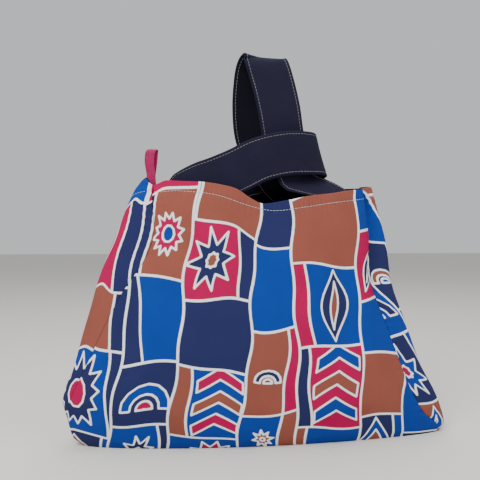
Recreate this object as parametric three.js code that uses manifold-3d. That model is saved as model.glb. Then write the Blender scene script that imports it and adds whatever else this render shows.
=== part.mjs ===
// A soft cotton project bag with two strap loops, the long one passed up through the short one.
// Millimetres, +Z up, front of the bag towards -Y, origin on the floor under the middle of the part.

import * as THREE from 'three';
import { mergeVertices } from 'three/addons/utils/BufferGeometryUtils.js';
import Module from 'manifold-3d';

const wasm = await Module();
wasm.setup();

// Driving dimensions of the body
const bagHeight = 268;
const baseWidth = 400;
const baseDepth = 96;
const clothWall = 1.6;
const liningWall = 1.2;
const layerGap = 0.3;
const seamGap = 0.3;
const sewnGap = 0.6;

// Driving dimensions of the strap loops
const strapWidth = 45;
const strapThickness = 3;
const strapSeat = 30;
const longRise = 129;
const shortRise = 27;
const loopReach = 64;
const loopSpread = 24;

// Driving dimensions of the tape tab at the left side seam
const tapeWidth = 10;
const tapeThickness = 1.2;
const tabRise = 36;
const tabSeat = 14;

// How finely the cloth is divided
const wallColumns = 56;
const wallRows = 17;
const strapStations = 52;
const strapColumns = 5;
const tabStations = 26;
const seamLevels = 20;
const rowPower = 1.15;

// Shares: how far the cutting bodies pass the rim, of bagHeight, the fade at a fold's ends, of
// bagHeight, and where a strap's end starts to leave the lining and has left it, of strapSeat
const overRim = 0.05;
const foldFade = 0.12;
const sewnFrom = 0.5;
const sewnTo = 1.7;

// Body sections from the floor to the rim. up: share of bagHeight. left, right: how far the wall
// reaches to each side, shares of half of baseWidth. front, back: shares of half of baseDepth.
// square: exponent of the oval, 2 for an ellipse and less for more pointed ends.
const sections = [
  { up: 0, left: 0.9, right: 0.985, front: 0.56, back: 0.62, square: 1.75 },
  { up: 0.03, left: 0.955, right: 1.015, front: 0.68, back: 0.74, square: 1.8 },
  { up: 0.105, left: 0.985, right: 0.99, front: 0.84, back: 0.9, square: 1.95 },
  { up: 0.175, left: 1.005, right: 0.95, front: 0.92, back: 0.97, square: 2 },
  { up: 0.313, left: 0.945, right: 0.86, front: 0.98, back: 1.02, square: 1.95 },
  { up: 0.489, left: 0.88, right: 0.77, front: 0.95, back: 1, square: 1.95 },
  { up: 0.623, left: 0.83, right: 0.71, front: 0.88, back: 0.93, square: 1.9 },
  { up: 0.761, left: 0.755, right: 0.685, front: 0.8, back: 0.86, square: 1.9 },
  { up: 0.925, left: 0.67, right: 0.63, front: 0.72, back: 0.78, square: 1.9 },
  { up: 1, left: 0.622, right: 0.605, front: 0.7, back: 0.76, square: 1.9 },
  { up: 1.1, left: 0.585, right: 0.58, front: 0.7, back: 0.76, square: 1.9 },
];

// The rim round the mouth. around: degrees, 0 at the right side, -90 at the front and 180 at the
// left side. drop: how far the rim hangs below bagHeight, as a share of it.
const rimLine = [
  { around: -205, drop: 0.03 },
  { around: -182, drop: 0.05 },
  { around: -172, drop: 0.022 },
  { around: -163, drop: -0.004 },
  { around: -153, drop: 0.02 },
  { around: -144, drop: 0.005 },
  { around: -135, drop: 0.008 },
  { around: -120, drop: 0.013 },
  { around: -109, drop: 0.026 },
  { around: -103, drop: 0.04 },
  { around: -97, drop: 0.07 },
  { around: -91, drop: 0.091 },
  { around: -79, drop: 0.079 },
  { around: -68, drop: 0.062 },
  { around: -53, drop: 0.048 },
  { around: -45, drop: 0.039 },
  { around: -28, drop: 0.029 },
  { around: -10, drop: 0.017 },
  { around: 20, drop: 0.017 },
  { around: 50, drop: 0.016 },
  { around: 90, drop: 0.006 },
  { around: 155, drop: 0.03 },
  { around: 178, drop: 0.05 },
];

// The side seams, which lie a little round towards the front. up: share of bagHeight.
// left, right: degrees forward of the bag's left and right ends.
const sideSeams = [
  { up: -0.1, left: 4, right: 12 },
  { up: 0, left: 4, right: 12 },
  { up: 0.1, left: 14, right: 30 },
  { up: 0.37, left: 24, right: 33 },
  { up: 0.57, left: 33, right: 33 },
  { up: 0.69, left: 39, right: 36 },
  { up: 0.8, left: 40, right: 28 },
  { up: 1, left: 27, right: 17 },
  { up: 1.1, left: 27, right: 17 },
];

// Folds and dents. lowAround, highAround: degrees where the fold starts and ends. low, high: the
// shares of bagHeight between which it runs. depth: inward, a share of baseDepth. spread: degrees.
const folds = [
  { lowAround: -140, highAround: -152, low: 0.62, high: 1.2, depth: 0.05, spread: 8 },
  { lowAround: -34, highAround: -16, low: 0.5, high: 1.05, depth: 0.1, spread: 8 },
  { lowAround: -38, highAround: -34, low: 0.08, high: 0.5, depth: 0.035, spread: 6 },
  { lowAround: -58, highAround: -56, low: 0.3, high: 0.72, depth: 0.04, spread: 7 },
  { lowAround: -142, highAround: -136, low: 0.3, high: 0.62, depth: 0.03, spread: 7 },
  { lowAround: -96, highAround: -92, low: 0.6, high: 1.2, depth: 0.045, spread: 12 },
  { lowAround: 60, highAround: 75, low: 0.35, high: 0.9, depth: 0.04, spread: 9 },
  { lowAround: 125, highAround: 115, low: 0.25, high: 0.8, depth: 0.04, spread: 9 },
];

// The centre line of each strap loop, from its front end to its back end. side: share of
// loopReach. deep: share of loopSpread, negative towards the front. up: share of the loop's
// rise above bagHeight. lean: degrees that the strap's width is turned, about the upright for the
// long loop, whose width lies level, and sideways for the short one, whose width stands.
const longLine = [
  { side: 1.2, deep: -0.66, up: -0.17, lean: 12 },
  { side: 0.79, deep: -0.56, up: -0.11, lean: 16 },
  { side: 0.62, deep: -0.46, up: -0.02, lean: 20 },
  { side: 0.54, deep: -0.42, up: 0.083, lean: 20 },
  { side: 0.49, deep: -0.42, up: 0.18, lean: 14 },
  { side: 0.365, deep: -0.43, up: 0.35, lean: 5 },
  { side: 0.285, deep: -0.44, up: 0.58, lean: 0 },
  { side: 0.18, deep: -0.42, up: 0.8, lean: 0 },
  { side: 0.085, deep: -0.33, up: 0.95, lean: 0 },
  { side: 0.045, deep: 0, up: 1, lean: 10 },
  { side: 0, deep: 0.2, up: 0.98, lean: 14 },
  { side: -0.05, deep: 0.34, up: 0.925, lean: 14 },
  { side: -0.085, deep: 0.43, up: 0.78, lean: 10 },
  { side: -0.09, deep: 0.48, up: 0.6, lean: 4 },
  { side: -0.05, deep: 0.44, up: 0.4, lean: -4 },
  { side: 0.06, deep: 0.36, up: 0.24, lean: -8 },
  { side: 0.22, deep: 0.34, up: 0.1, lean: -12 },
  { side: 0.42, deep: 0.4, up: -0.025, lean: -12 },
  { side: 0.78, deep: 0.52, up: -0.11, lean: -12 },
  { side: 1.24, deep: 0.68, up: -0.15, lean: -12 },
];
const shortLine = [
  { side: -1.62, deep: -0.46, up: -0.88, lean: 0 },
  { side: -1.34, deep: -0.7, up: -0.56, lean: 0 },
  { side: -1.06, deep: -0.84, up: -0.26, lean: 0 },
  { side: -0.74, deep: -0.97, up: 0, lean: 0 },
  { side: -0.42, deep: -1, up: 0.32, lean: 0 },
  { side: -0.05, deep: -1, up: 0.75, lean: 0 },
  { side: 0.36, deep: -0.98, up: 0.99, lean: -4 },
  { side: 0.7, deep: -0.82, up: 1.05, lean: -12 },
  { side: 0.93, deep: -0.45, up: 1.05, lean: -15 },
  { side: 1, deep: 0, up: 1, lean: -16 },
  { side: 0.92, deep: 0.45, up: 0.9, lean: -17 },
  { side: 0.66, deep: 0.82, up: 0.74, lean: -18 },
  { side: 0.26, deep: 1, up: 0.5, lean: -14 },
  { side: -0.2, deep: 1.02, up: 0.22, lean: -8 },
  { side: -0.7, deep: 1, up: -0.1, lean: -4 },
  { side: -1.2, deep: 0.9, up: -0.5, lean: 0 },
  { side: -1.55, deep: 0.76, up: -1, lean: 0 },
];

// Where the ends of the long loop and of the short one are sewn to the lining: degrees round the mouth
const seats = [
  { front: -46, back: 44 },
  { front: -130, back: 137 },
];

// The tape tab's centre line. side: along the rim, a share of tapeWidth. deep: away from the
// lining, a share of tapeWidth. up: a share of tabRise above the rim. lean: degrees that the
// tape's width is turned about the upright.
const tabLine = [
  { side: -0.4, deep: 0.2, up: 0, lean: 0 },
  { side: -0.42, deep: 0.22, up: 0.3, lean: -28 },
  { side: -0.56, deep: 0.1, up: 0.7, lean: -8 },
  { side: -0.42, deep: 0.1, up: 0.95, lean: 0 },
  { side: -0.2, deep: 0.3, up: 1, lean: 0 },
  { side: -0.22, deep: 0.5, up: 0.9, lean: 0 },
  { side: -0.3, deep: 0.52, up: 0.6, lean: -8 },
  { side: -0.42, deep: 0.5, up: 0.24, lean: -28 },
  { side: -0.4, deep: 0.42, up: 0, lean: 0 },
];

// The value of one column of a table at a place along it, by a smooth curve through its rows
function columnAt(rows, along, column, at) {
  const last = rows.length - 1;
  let i = 0;
  while (i < last - 1 && rows[i + 1][along] < at) i += 1;
  const slope = (k) => {
    const before = rows[Math.max(k - 1, 0)];
    const after = rows[Math.min(k + 1, last)];
    return (after[column] - before[column]) / (after[along] - before[along]);
  };
  const start = rows[i];
  const end = rows[i + 1];
  const span = end[along] - start[along];
  const t = THREE.MathUtils.clamp((at - start[along]) / span, 0, 1);
  const t2 = t * t;
  const t3 = t2 * t;
  return (2 * t3 - 3 * t2 + 1) * start[column] + (t3 - 2 * t2 + t) * span * slope(i)
    + (3 * t2 - 2 * t3) * end[column] + (t3 - t2) * span * slope(i + 1);
}

// An angle in degrees brought between -180 and 180
function turned(angle) {
  return THREE.MathUtils.euclideanModulo(angle + 180, 360) - 180;
}

// Height of the rim at an angle round the mouth
function rimHeight(around) {
  return bagHeight * (1 - columnAt(rimLine, 'around', 'drop', turned(around)));
}

// How far all folds push the wall in at a place on it: a bell across each fold, faded at its ends
function foldDepth(around, up) {
  let sum = 0;
  for (const fold of folds) {
    const t = (up - fold.low) / (fold.high - fold.low);
    const line = fold.lowAround + (fold.highAround - fold.lowAround) * t;
    const across = turned(around - line) / fold.spread;
    const ends = THREE.MathUtils.smoothstep(up, fold.low - foldFade, fold.low + foldFade)
      * (1 - THREE.MathUtils.smoothstep(up, fold.high - foldFade, fold.high + foldFade));
    sum += fold.depth * baseDepth * Math.exp(-across * across) * ends;
  }
  return sum;
}

// A point of the oval section at a height, before folds and insets
function ovalPoint(around, height) {
  const up = height / bagHeight;
  const angle = THREE.MathUtils.degToRad(around);
  const column = (name) => columnAt(sections, 'up', name, up);
  const power = 2 / column('square');
  const cos = Math.cos(angle);
  const sin = Math.sin(angle);
  const halfWidth = column(cos > 0 ? 'right' : 'left') * baseWidth / 2;
  const halfDepth = column(sin > 0 ? 'back' : 'front') * baseDepth / 2;
  return new THREE.Vector2(
    halfWidth * Math.sign(cos) * Math.abs(cos) ** power,
    halfDepth * Math.sign(sin) * Math.abs(sin) ** power,
  );
}

// A point of the bag's outer face, moved inwards by an inset, with the folds pressed in
function wallPoint(around, height, inset) {
  const step = 2;
  const point = ovalPoint(around, height);
  const along = ovalPoint(around + step, height).sub(ovalPoint(around - step, height)).normalize();
  const push = inset + foldDepth(around, height / bagHeight);
  return new THREE.Vector3(point.x - along.y * push, point.y + along.x * push, height);
}

// A closed solid of the bag's shape: rings from the floor to the rim, and one above it if asked
function bodySolid(inset, floor, rise) {
  const positions = [];
  const indices = [];
  const rows = rise > 0 ? wallRows + 1 : wallRows;
  for (let row = 0; row <= rows; row += 1) {
    const share = Math.min(row / wallRows, 1) ** rowPower;
    for (let column = 0; column < wallColumns; column += 1) {
      const around = -180 + 360 * column / wallColumns;
      const height = floor + (rimHeight(around) - floor) * share;
      const point = wallPoint(around, height, inset);
      if (row > wallRows) point.z += rise;
      positions.push(...point.toArray());
    }
  }
  const lowMiddle = positions.length / 3;
  positions.push(0, 0, floor);
  const highMiddle = lowMiddle + 1;
  positions.push(0, 0, bagHeight + rise);
  for (let column = 0; column < wallColumns; column += 1) {
    const next = (column + 1) % wallColumns;
    indices.push(lowMiddle, next, column);
    indices.push(highMiddle, rows * wallColumns + column, rows * wallColumns + next);
    for (let row = 0; row < rows; row += 1) {
      const a = row * wallColumns + column;
      const b = row * wallColumns + next;
      indices.push(a, b, b + wallColumns, a, b + wallColumns, a + wallColumns);
    }
  }
  return geometryFrom(positions, indices);
}

function geometryFrom(positions, indices) {
  const geometry = new THREE.BufferGeometry();
  geometry.setAttribute('position', new THREE.Float32BufferAttribute(positions, 3));
  geometry.setIndex(indices);
  return geometry;
}

function solidFrom(geometry) {
  const clean = geometry.clone();
  clean.deleteAttribute('normal');
  clean.deleteAttribute('uv');
  const merged = mergeVertices(clean, 1e-4);
  return new wasm.Manifold(new wasm.Mesh({
    numProp: 3,
    vertProperties: new Float32Array(merged.attributes.position.array),
    triVerts: new Uint32Array(merged.index.array),
  }));
}

function geometryOf(solid) {
  const mesh = solid.getMesh();
  return geometryFrom(Array.from(mesh.vertProperties), Array.from(mesh.triVerts));
}

// A hollow bag with one wall: its body less the space inside it, which stays open at the rim
function hollowBag(outerInset, wall) {
  const floor = outerInset;
  const outside = solidFrom(bodySolid(outerInset, floor, 0));
  const inside = solidFrom(bodySolid(outerInset + wall, floor + wall, bagHeight * overRim));
  return outside.subtract(inside);
}

// The thin cut along both side seams and the seam under the base. From above it has the shape of
// a U: a fin that crosses the wall at each side seam, and a bar along the middle that joins them.
function seamCut() {
  const firstUp = sideSeams[0].up;
  const lastUp = sideSeams[sideSeams.length - 1].up;
  const half = seamGap / 2;
  const positions = [];
  const indices = [];
  for (let level = 0; level <= seamLevels; level += 1) {
    const up = THREE.MathUtils.lerp(firstUp, lastUp, level / seamLevels);
    const height = up * bagHeight;
    const leftSeam = -180 + columnAt(sideSeams, 'up', 'left', up);
    const rightSeam = -columnAt(sideSeams, 'up', 'right', up);
    const left = wallPoint(leftSeam, Math.max(height, 0), 0).x;
    const right = wallPoint(rightSeam, Math.max(height, 0), 0).x;
    const ring = [
      [left - half, -baseDepth], [left + half, -baseDepth],
      [left + half, -half], [right - half, -half],
      [right - half, -baseDepth], [right + half, -baseDepth],
      [right + half, half], [left - half, half],
    ];
    for (const [x, y] of ring) positions.push(x, y, height);
  }
  const top = seamLevels * 8;
  const caps = [[0, 1, 2], [0, 2, 7], [2, 3, 7], [3, 6, 7], [3, 4, 5], [3, 5, 6]];
  for (const [a, b, c] of caps) indices.push(c, b, a, top + a, top + b, top + c);
  for (let level = 0; level < seamLevels; level += 1) {
    for (let corner = 0; corner < 8; corner += 1) {
      const low = level * 8 + corner;
      const next = level * 8 + (corner + 1) % 8;
      indices.push(low, next, next + 8, low, next + 8, low + 8);
    }
  }
  return solidFrom(geometryFrom(positions, indices));
}

// A closed slab of cloth from a grid of points on its middle face, thickened both ways
function slabFrom(grid, thickness) {
  const rows = grid.length;
  const columns = grid[0].length;
  const positions = [];
  const indices = [];
  const at = (row, column) => grid[THREE.MathUtils.clamp(row, 0, rows - 1)][
    THREE.MathUtils.clamp(column, 0, columns - 1)];
  for (const side of [1, -1]) {
    for (let row = 0; row < rows; row += 1) {
      for (let column = 0; column < columns; column += 1) {
        const along = at(row + 1, column).clone().sub(at(row - 1, column));
        const across = at(row, column + 1).clone().sub(at(row, column - 1));
        const normal = along.cross(across).normalize();
        const point = grid[row][column].clone().addScaledVector(normal, side * thickness / 2);
        positions.push(...point.toArray());
      }
    }
  }
  const back = rows * columns;
  const quad = (a, b, c, d) => indices.push(a, b, c, a, c, d);
  for (let row = 0; row < rows - 1; row += 1) {
    for (let column = 0; column < columns - 1; column += 1) {
      const a = row * columns + column;
      quad(a, a + columns, a + columns + 1, a + 1);
      quad(back + a, back + a + 1, back + a + columns + 1, back + a + columns);
    }
    const left = row * columns;
    const right = left + columns - 1;
    quad(left, back + left, back + left + columns, left + columns);
    quad(right, right + columns, back + right + columns, back + right);
  }
  for (let column = 0; column < columns - 1; column += 1) {
    const end = (rows - 1) * columns + column;
    quad(column, column + 1, back + column + 1, back + column);
    quad(end, back + end, back + end + 1, end + 1);
  }
  return geometryFrom(positions, indices);
}

// A point of the lining's inner face, moved in by half of what is sewn on it and a clearance
function seatPoint(around, height, thickness) {
  const inset = clothWall + layerGap + liningWall + sewnGap + thickness / 2;
  return wallPoint(around, height, inset);
}

// The angle round the mouth that lies a given length along the rim from another angle
function angleAlongRim(around, height, length) {
  const step = 1;
  const chord = ovalPoint(around + step, height).distanceTo(ovalPoint(around - step, height));
  return around + length / (chord / (2 * step));
}

// The lean in radians at a share of the knots of a centre line
function leanAt(leans, share) {
  const place = share * (leans.length - 1);
  const low = Math.min(Math.floor(place), leans.length - 2);
  return THREE.MathUtils.degToRad(THREE.MathUtils.lerp(leans[low], leans[low + 1], place - low));
}

// A strap loop: a free band along its centre line, whose ends lie flat on the lining
function strapLoop(line, rise, upright, ends) {
  const points = line.map((row) => new THREE.Vector3(
    row.side * loopReach, row.deep * loopSpread, bagHeight + row.up * rise));
  const curve = new THREE.CatmullRomCurve3(points, false, 'centripetal');
  const grid = [];
  const length = curve.getLength();
  for (let station = 0; station <= strapStations; station += 1) {
    const t = station / strapStations;
    const middle = curve.getPointAt(t);
    const tangent = curve.getTangentAt(t);
    const lean = leanAt(line.map((row) => row.lean), curve.getUtoTmapping(t));
    const width = upright
      ? new THREE.Vector3(Math.sin(lean), 0, Math.cos(lean))
      : new THREE.Vector3(Math.cos(lean), Math.sin(lean), 0);
    width.addScaledVector(tangent, -width.dot(tangent)).normalize();
    const fromFront = t * length;
    const fromBack = (1 - t) * length;
    const nearFront = fromFront < fromBack;
    const fromEnd = Math.min(fromFront, fromBack);
    const sewn = 1 - THREE.MathUtils.smoothstep(fromEnd, strapSeat * sewnFrom, strapSeat * sewnTo);
    const seat = nearFront ? ends.front : ends.back;
    const row = [];
    for (let column = 0; column < strapColumns; column += 1) {
      const offset = (column / (strapColumns - 1) - 0.5) * strapWidth;
      const free = middle.clone().addScaledVector(width, offset);
      const flip = upright ? (nearFront ? -1 : 1) : (nearFront ? 1 : -1);
      const height = rimHeight(seat) - strapSeat + fromEnd;
      const around = angleAlongRim(seat, bagHeight, offset * flip);
      const flat = seatPoint(around, Math.min(height, bagHeight), strapThickness);
      row.push(free.lerp(flat, sewn));
    }
    grid.push(row);
  }
  return slabFrom(grid, strapThickness);
}

// The tape loop at the top of the left side seam, its two legs lying one behind the other
function sideTab() {
  const seam = -180 + columnAt(sideSeams, 'up', 'left', 1);
  const rim = rimHeight(seam);
  const foot = seatPoint(seam, rim, tapeThickness);
  const step = 2;
  const along = seatPoint(seam + step, rim, tapeThickness)
    .sub(seatPoint(seam - step, rim, tapeThickness)).normalize();
  const inward = new THREE.Vector3(-along.y, along.x, 0);
  const points = tabLine.map((row) => foot.clone()
    .addScaledVector(along, row.side * tapeWidth)
    .addScaledVector(inward, row.deep * tapeWidth)
    .setZ(rim + row.up * tabRise));
  const first = points[0].clone().setZ(rim - tabSeat);
  const last = points[points.length - 1].clone().setZ(rim - tabSeat);
  const curve = new THREE.CatmullRomCurve3([first, ...points, last], false, 'centripetal');
  const leans = [tabLine[0], ...tabLine, tabLine[tabLine.length - 1]].map((row) => row.lean);
  const grid = [];
  for (let station = 0; station <= tabStations; station += 1) {
    const t = station / tabStations;
    const middle = curve.getPointAt(t);
    const lean = leanAt(leans, curve.getUtoTmapping(t));
    const width = along.clone().multiplyScalar(Math.cos(lean)).addScaledVector(inward, Math.sin(lean));
    grid.push([-0.5, 0.5].map((share) => middle.clone().addScaledVector(width, share * tapeWidth)));
  }
  return slabFrom(grid, tapeThickness);
}

function named(name, geometry, colour, roughness) {
  const material = new THREE.MeshStandardMaterial({ color: colour, roughness, metalness: 0 });
  const mesh = new THREE.Mesh(geometry, material);
  mesh.name = name;
  return mesh;
}

// The sewn outer bag parts into a front and a back panel at its seams
const panels = hollowBag(0, clothWall).subtract(seamCut()).decompose();
const depthOf = (solid) => {
  const box = solid.boundingBox();
  return box.min[1] + box.max[1];
};
panels.sort((a, b) => depthOf(a) - depthOf(b));
const lining = hollowBag(clothWall + layerGap, liningWall);

const bag = new THREE.Group();
bag.add(named('front_panel', geometryOf(panels[0]), 0x1e5ab4, 0.85));
bag.add(named('back_panel', geometryOf(panels[panels.length - 1]), 0x2b356e, 0.85));
bag.add(named('lining', geometryOf(lining), 0x0c1428, 0.9));
const longLoop = strapLoop(longLine, longRise, false, seats[0]);
bag.add(named('long_handle', longLoop, 0x24243c, 0.85));
const shortLoop = strapLoop(shortLine, shortRise, true, seats[1]);
bag.add(named('short_handle', shortLoop, 0x24243c, 0.85));
bag.add(named('side_tab', sideTab(), 0xb92d69, 0.8));

// The origin is on the floor under the middle of the part
const bounds = new THREE.Box3().setFromObject(bag);
const middle = bounds.getCenter(new THREE.Vector3());
bag.position.set(-middle.x, -middle.y, -bounds.min.z);

export default bag;
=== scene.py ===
# Cotton knitting project bag: printed cloth, lining, straps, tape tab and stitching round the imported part.
# Lengths are in millimetres until a mesh is made, and the front of the bag is towards -Y.
import math

import bpy
import numpy as np
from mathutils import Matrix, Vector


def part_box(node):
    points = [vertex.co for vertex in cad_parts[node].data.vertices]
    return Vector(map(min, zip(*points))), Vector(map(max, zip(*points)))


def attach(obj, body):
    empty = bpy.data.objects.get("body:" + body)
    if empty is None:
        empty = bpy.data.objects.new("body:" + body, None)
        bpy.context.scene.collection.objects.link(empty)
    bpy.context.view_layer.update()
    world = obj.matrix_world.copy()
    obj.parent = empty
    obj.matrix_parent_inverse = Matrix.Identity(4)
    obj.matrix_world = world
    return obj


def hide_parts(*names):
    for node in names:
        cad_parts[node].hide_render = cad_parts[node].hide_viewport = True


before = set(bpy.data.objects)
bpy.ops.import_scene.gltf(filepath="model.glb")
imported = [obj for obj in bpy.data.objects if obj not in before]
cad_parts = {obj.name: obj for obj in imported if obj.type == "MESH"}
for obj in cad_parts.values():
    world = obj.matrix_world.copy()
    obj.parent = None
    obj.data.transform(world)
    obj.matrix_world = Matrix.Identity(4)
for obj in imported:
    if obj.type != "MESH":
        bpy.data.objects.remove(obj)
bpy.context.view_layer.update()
print("frame loaded")

millimetre = 0.001

# The bag's body, the same sizes as the part's
body = {
    "height": 268,
    "width": 400,
    "depth": 96,
    "cloth": 1.6,
    "lining": 1.2,
    "gap": 0.3,
    "seamGap": 0.3,
    "sewn": 0.6,
    "foldFade": 0.12,
}

# Body sections: up, left, right, front, back, square
sections = np.array([
    (0, 0.9, 0.985, 0.56, 0.62, 1.75),
    (0.03, 0.955, 1.015, 0.68, 0.74, 1.8),
    (0.105, 0.985, 0.99, 0.84, 0.9, 1.95),
    (0.175, 1.005, 0.95, 0.92, 0.97, 2),
    (0.313, 0.945, 0.86, 0.98, 1.02, 1.95),
    (0.489, 0.88, 0.77, 0.95, 1, 1.95),
    (0.623, 0.83, 0.71, 0.88, 0.93, 1.9),
    (0.761, 0.755, 0.685, 0.8, 0.86, 1.9),
    (0.925, 0.67, 0.63, 0.72, 0.78, 1.9),
    (1, 0.622, 0.605, 0.7, 0.76, 1.9),
    (1.1, 0.585, 0.58, 0.7, 0.76, 1.9),
])
left, right, front, back, square = range(1, 6)

# The rim: degrees around the mouth, drop below the height as a share of it
rimLine = np.array([
    (-205, 0.03), (-182, 0.05), (-172, 0.022), (-163, -0.004), (-153, 0.02), (-144, 0.005), (-135, 0.008),
    (-120, 0.013), (-109, 0.026), (-103, 0.04), (-97, 0.07), (-91, 0.091), (-79, 0.079), (-68, 0.062),
    (-53, 0.048), (-45, 0.039), (-28, 0.029), (-10, 0.017), (20, 0.017), (50, 0.016), (90, 0.006),
    (155, 0.03), (178, 0.05),
])

# The side seams: up, degrees forward of the left end, degrees forward of the right end
sideSeams = np.array([
    (-0.1, 4, 12), (0, 4, 12), (0.1, 14, 30), (0.37, 24, 33), (0.57, 33, 33),
    (0.69, 39, 36), (0.8, 40, 28), (1, 27, 17), (1.1, 27, 17),
])

# Folds of the part: low around, high around, low, high, depth as a share of the bag's depth, spread
folds = [
    (-140, -152, 0.62, 1.2, 0.05, 8),
    (-34, -16, 0.5, 1.05, 0.1, 8),
    (-38, -34, 0.08, 0.5, 0.035, 6),
    (-58, -56, 0.3, 0.72, 0.04, 7),
    (-142, -136, 0.3, 0.62, 0.03, 7),
    (-96, -92, 0.6, 1.2, 0.045, 12),
    (60, 75, 0.35, 0.9, 0.04, 9),
    (125, 115, 0.25, 0.8, 0.04, 9),
]

# Creases that only the cloth shows, as lines on the face seen from the front (side -1) or the back
# (side 1): side, x and z of both ends, depth, half width
creases = [
    (-1, 128, 150, 178, 18, 1.8, 6),
    (-1, 132, 128, 164, 40, 1.5, 4),
    (-1, 140, 175, 186, 60, 1.6, 5),
    (-1, 96, 100, 120, 20, 1.0, 6),
    (-1, 60, 170, 76, 70, 1.0, 9),
    (-1, -150, 60, -176, 26, 1.0, 7),
    (-1, -120, 150, -138, 60, 0.8, 9),
    (-1, -60, 40, 20, 26, 0.5, 8),
    (-1, 40, 22, 130, 32, 0.7, 7),
    (1, 70, 190, 120, 30, 1.6, 10),
    (1, -60, 200, -130, 50, 1.6, 10),
    (1, 0, 220, 14, 90, 1.2, 13),
    (1, -150, 120, -178, 24, 1.2, 7),
]

# How a crease fades at its ends, as shares of its length, and its raised shoulders, in half widths
creaseShape = {"fadeIn": 0.3, "fadeOut": 0.7, "shoulder": 0.45, "shoulderAt": 1.9, "shoulderWidth": 0.9}

# Long soft swells of the cloth: number, lengths, height as a share of length, how little they run
# upwards, and the draw
swells = {"count": 14, "shortest": 34, "longest": 120, "rise": 0.0075, "upward": 0.55, "seed": 11}

# The valley along each side seam and the gathers beside it, whose pitch drifts up the bag. The left
# seam keeps only the share pressed of its relief below the share leftFlat of the height.
seamShape = {
    "depth": 1.1,
    "width": 2.4,
    "pucker": 0.35,
    "puckerPitch": 8.5,
    "puckerReach": 9,
    "drift": 2.3,
    "driftLength": 19,
    "leftFlat": 0.7,
    "leftFade": 0.1,
    "pressed": 0.12,
}

# The groove of the hem's stitching, the gathers round it, and the stitches' pitch, length and radius
hemShape = {
    "drop": 10,
    "depth": 0.35,
    "width": 1.3,
    "pucker": 0.16,
    "pitch": 6.2,
    "drift": 3,
    "driftLength": 23,
    "puckerAbove": 2,
    "puckerReach": 9,
    "smooth": 12,
    "stitch": (3.2, 2.7, 0.24),
}

# The cloth lies without relief at the floor and has all of it from this height
footHeight = 14


# One column of a table at any place along it: a cubic through each pair of rows, whose slope at a
# row is that between its neighbours
def tableAt(table, column, at):
    xs = table[:, 0]
    ys = table[:, column]
    last = len(xs) - 1
    after = np.minimum(np.arange(last + 1) + 1, last)
    before = np.maximum(np.arange(last + 1) - 1, 0)
    slopes = (ys[after] - ys[before]) / (xs[after] - xs[before])
    i = np.searchsorted(xs[1:-1], at)
    span = xs[i + 1] - xs[i]
    t = np.clip((at - xs[i]) / span, 0, 1)
    start = (2 * t**3 - 3 * t**2 + 1) * ys[i] + (t**3 - 2 * t**2 + t) * span * slopes[i]
    return start + (3 * t**2 - 2 * t**3) * ys[i + 1] + (t**3 - t**2) * span * slopes[i + 1]


# An angle brought to between -180 and 180 degrees
def turned(angle):
    return np.mod(angle + 180, 360) - 180


# 0 below low, 1 above high and 3 t^2 - 2 t^3 between them
def smoothStep(value, low, high):
    t = np.clip((value - low) / (high - low), 0, 1)
    return t * t * (3 - 2 * t)


# Vectors divided by their lengths
def unit(vectors):
    return vectors / np.maximum(np.linalg.norm(vectors, axis=-1, keepdims=True), 1e-9)


# Height of the rim at an angle: the bag's height less the rim table's drop
def rimHeight(around):
    return body["height"] * (1 - tableAt(rimLine, 1, turned(around)))


# Height of the hem's stitching: a drop below the rim's mean height over the angles beside it
def hemHeight(around):
    beside = np.linspace(-hemShape["smooth"], hemShape["smooth"], 9)
    return sum(rimHeight(around + step) for step in beside) / len(beside) - hemShape["drop"]


# The push of the part's folds: depth * exp(-(angle / spread)^2), faded at both ends
def foldDepth(around, up):
    fade = body["foldFade"]
    total = np.zeros(np.broadcast(around, up).shape)
    for lowAround, highAround, low, high, depth, spread in folds:
        line = lowAround + (highAround - lowAround) * (up - low) / (high - low)
        across = turned(around - line) / spread
        ends = smoothStep(up, low - fade, low + fade) * (1 - smoothStep(up, high - fade, high + fade))
        total = total + depth * body["depth"] * np.exp(-across * across) * ends
    return total


# The oval section: x = halfWidth * |cos|^(2/square), y = halfDepth * |sin|^(2/square), with signs
def ovalPoint(around, height):
    up = height / body["height"]
    angle = np.radians(around)
    cos = np.cos(angle)
    sin = np.sin(angle)
    power = 2 / tableAt(sections, square, up)
    halfWidth = np.where(cos > 0, tableAt(sections, right, up), tableAt(sections, left, up))
    halfDepth = np.where(sin > 0, tableAt(sections, back, up), tableAt(sections, front, up))
    x = halfWidth * body["width"] / 2 * np.sign(cos) * np.abs(cos) ** power
    y = halfDepth * body["depth"] / 2 * np.sign(sin) * np.abs(sin) ** power
    return np.stack([x, y], -1)


# How many millimetres of wall a degree round the bag takes
def wallRate(around, height):
    step = 1
    chord = ovalPoint(around + step, height) - ovalPoint(around - step, height)
    return np.linalg.norm(chord, axis=-1) / (2 * step)


# The push of both side seams: a narrow valley of depth * exp(-distance / width), and gathers beside it
def seamPush(around, height):
    up = height / body["height"]
    rate = wallRate(around, height)
    drift = seamShape["drift"] * np.sin(height / seamShape["driftLength"])
    gathers = np.sin(2 * np.pi * height / seamShape["puckerPitch"] + drift)
    flat, fade, pressed = seamShape["leftFlat"], seamShape["leftFade"], seamShape["pressed"]
    leftStrength = pressed + (1 - pressed) * smoothStep(up, flat - fade, flat + fade)
    push = 0
    for line, strength in ((tableAt(sideSeams, 1, up) - 180, leftStrength), (-tableAt(sideSeams, 2, up), 1)):
        distance = np.abs(turned(around - line)) * rate
        push = push + strength * seamShape["depth"] * np.exp(-distance / seamShape["width"])
        push = push + strength * seamShape["pucker"] * gathers * np.exp(-distance / seamShape["puckerReach"])
    return push


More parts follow.
